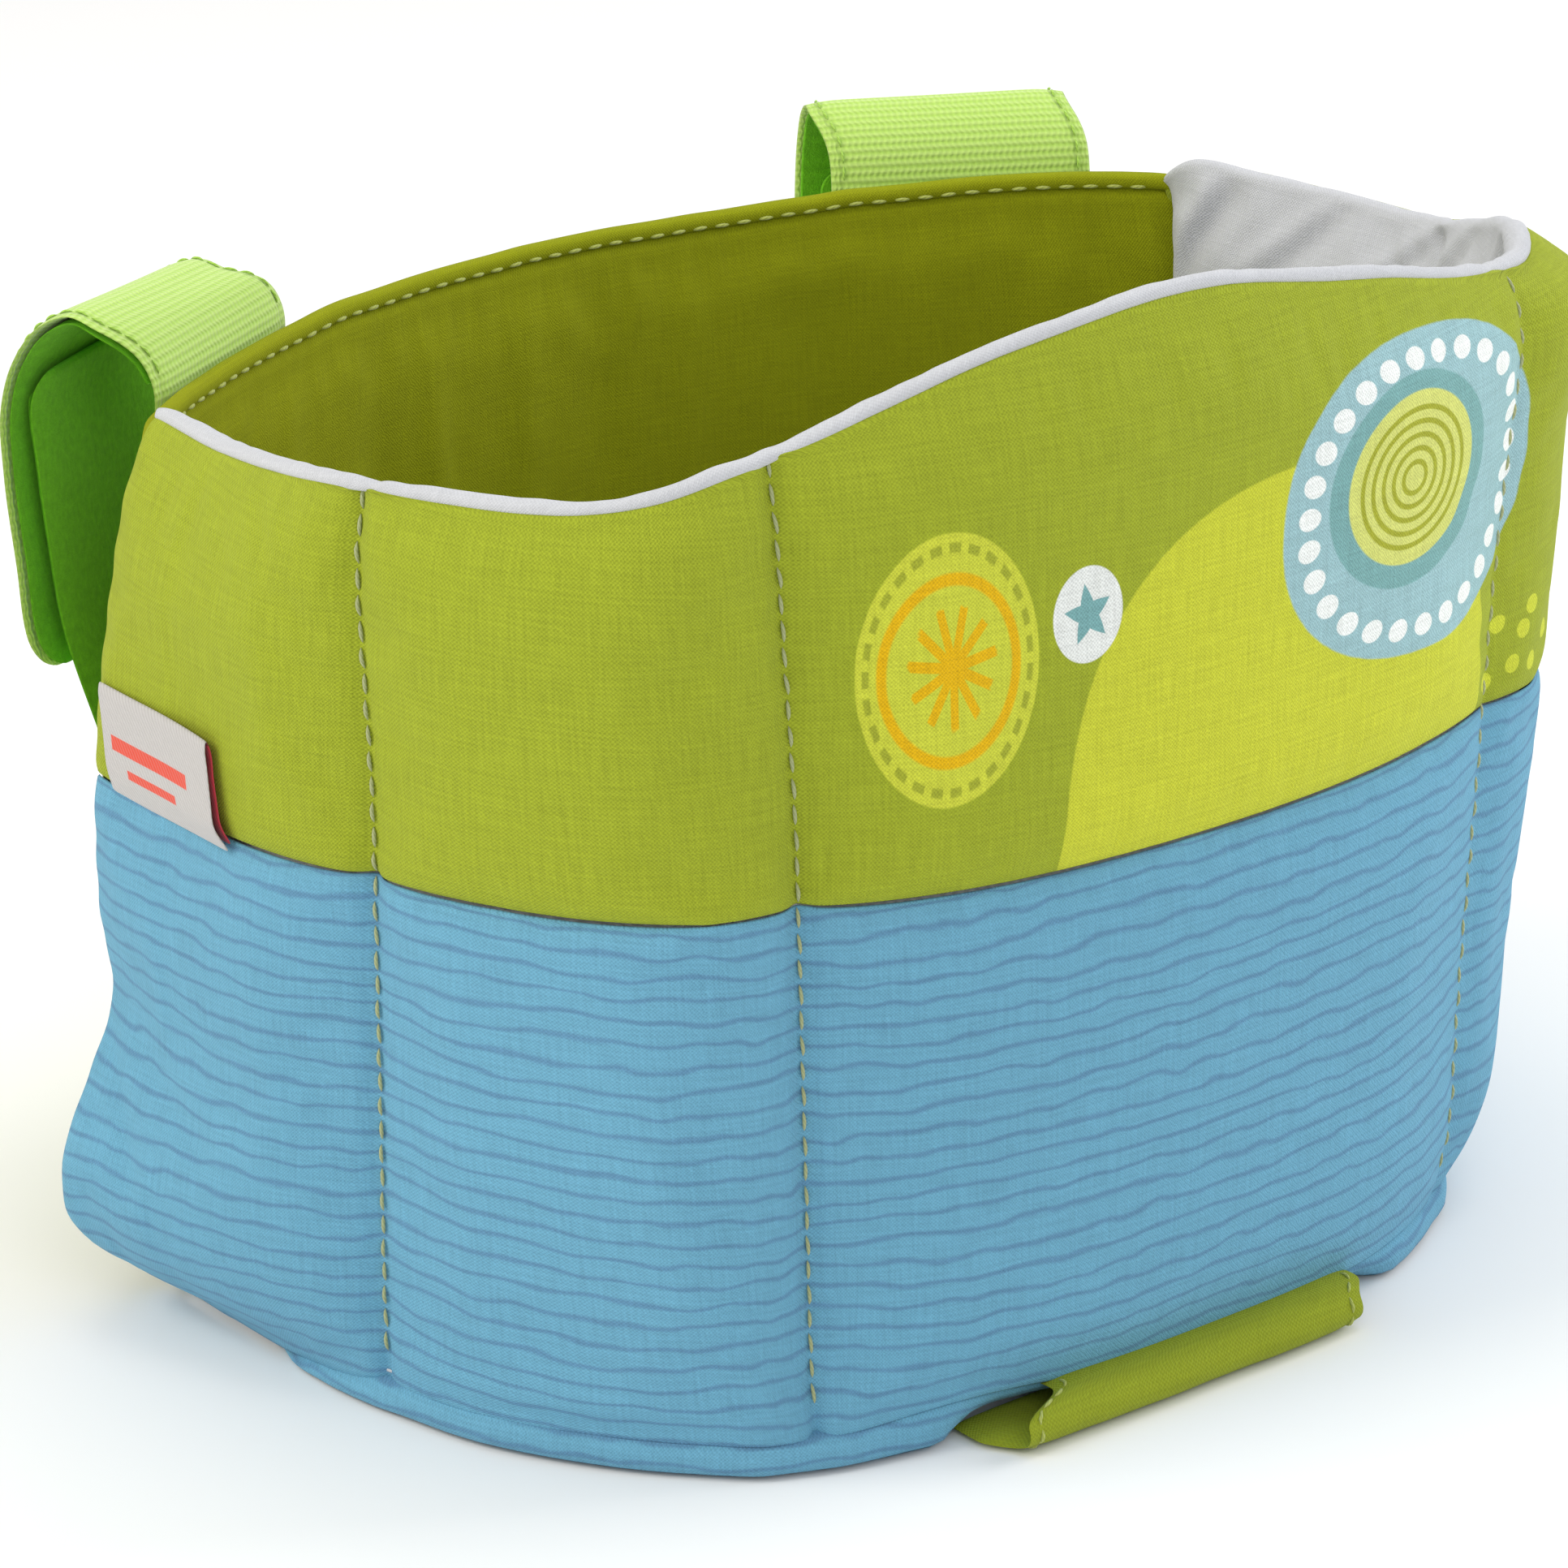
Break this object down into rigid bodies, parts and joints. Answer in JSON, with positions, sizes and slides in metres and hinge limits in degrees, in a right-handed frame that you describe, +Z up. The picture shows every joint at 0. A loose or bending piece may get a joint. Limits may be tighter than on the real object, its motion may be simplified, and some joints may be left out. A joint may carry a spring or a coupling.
{
  "type": "handlebar bag",
  "caption": "Small padded fabric bag, open at the top, with a high curved front, a thin bowed back panel and hook-and-loop straps that hang it on a handlebar.",
  "frame": {"origin": "middle of the flat underside of the base, half way from front to back", "axes": "+X across the width of the bag, +Y towards the back panel with the straps, +Z up"},
  "size_m": [0.221, 0.1652, 0.153],
  "materials": {
    "printed_cotton": "plain-weave cotton, matt, printed",
    "blue_twill": "twill cotton, matt, wavy lines",
    "grey_lining": "smooth cotton, matt",
    "olive_lining": "plain-weave cotton, matt",
    "wadding": "soft polyester wadding",
    "green_webbing": "ribbed webbing, slight sheen",
    "green_pile": "brushed loop pile",
    "thread": "twisted sewing thread",
    "label_tape": "woven satin tape"
  },
  "bodies": {
    "bag": {"upper_wall_cover": "printed_cotton", "lower_wall_cover": "blue_twill", "wall_wadding": "wadding", "wall_lining": "grey_lining", "back_panel_cover": "olive_lining", "back_panel_interlining": "wadding", "back_panel_lining": "olive_lining", "back_rim_topstitch": "thread", "base_cover": "blue_twill", "base_wadding": "wadding", "base_lining": "grey_lining", "left_side_quilting": "thread", "left_front_quilting": "thread", "right_front_quilting": "thread", "right_side_quilting": "thread", "left_strap_anchor": "green_webbing", "right_strap_anchor": "green_webbing"},
    "left_strap": {"left_strap_webbing": "green_webbing", "left_strap_pile": "green_pile", "left_strap_edge_stitching": "thread"},
    "left_lower_strap": {"left_lower_strap": "green_webbing", "left_hook_patch": "green_pile"},
    "right_strap": {"right_strap_webbing": "green_webbing", "right_strap_pile": "green_pile", "right_strap_edge_stitching": "thread"},
    "right_lower_strap": {"right_lower_strap": "green_webbing", "right_hook_patch": "green_pile"},
    "label": {"woven_label": "label_tape"},
    "tab": {"bottom_tab": "olive_lining", "bottom_tab_stitching": "thread"}
  },
  "joints": [
    {"name": "left_strap_hinge", "type": "hinge", "parent": "bag", "child": "left_strap", "pos_m": [-0.06765, 0.05647, 0.12815], "axis": [0.8742, 0.4856, 0], "range_deg": [0, 90]},
    {"name": "left_lower_strap_hinge", "type": "hinge", "parent": "bag", "child": "left_lower_strap", "pos_m": [-0.06921, 0.05927, 0.0585], "axis": [0.8742, 0.4856, 0], "range_deg": [0, 10]},
    {"name": "right_strap_hinge", "type": "hinge", "parent": "bag", "child": "right_strap", "pos_m": [0.06765, 0.05647, 0.12815], "axis": [0.8742, -0.4856, 0], "range_deg": [0, 90]},
    {"name": "right_lower_strap_hinge", "type": "hinge", "parent": "bag", "child": "right_lower_strap", "pos_m": [0.06921, 0.05927, 0.0585], "axis": [0.8742, -0.4856, 0], "range_deg": [0, 10]},
    {"name": "label_hinge", "type": "hinge", "parent": "bag", "child": "label", "pos_m": [-0.10278, 0.01772, 0.0804], "axis": [0, -1, 0], "range_deg": [0, 120]},
    {"name": "tab_hinge", "type": "hinge", "parent": "bag", "child": "tab", "pos_m": [-0.0025, -0.0747, 0.0082], "axis": [-1, 0, 0], "range_deg": [0, 100]}
  ]
}
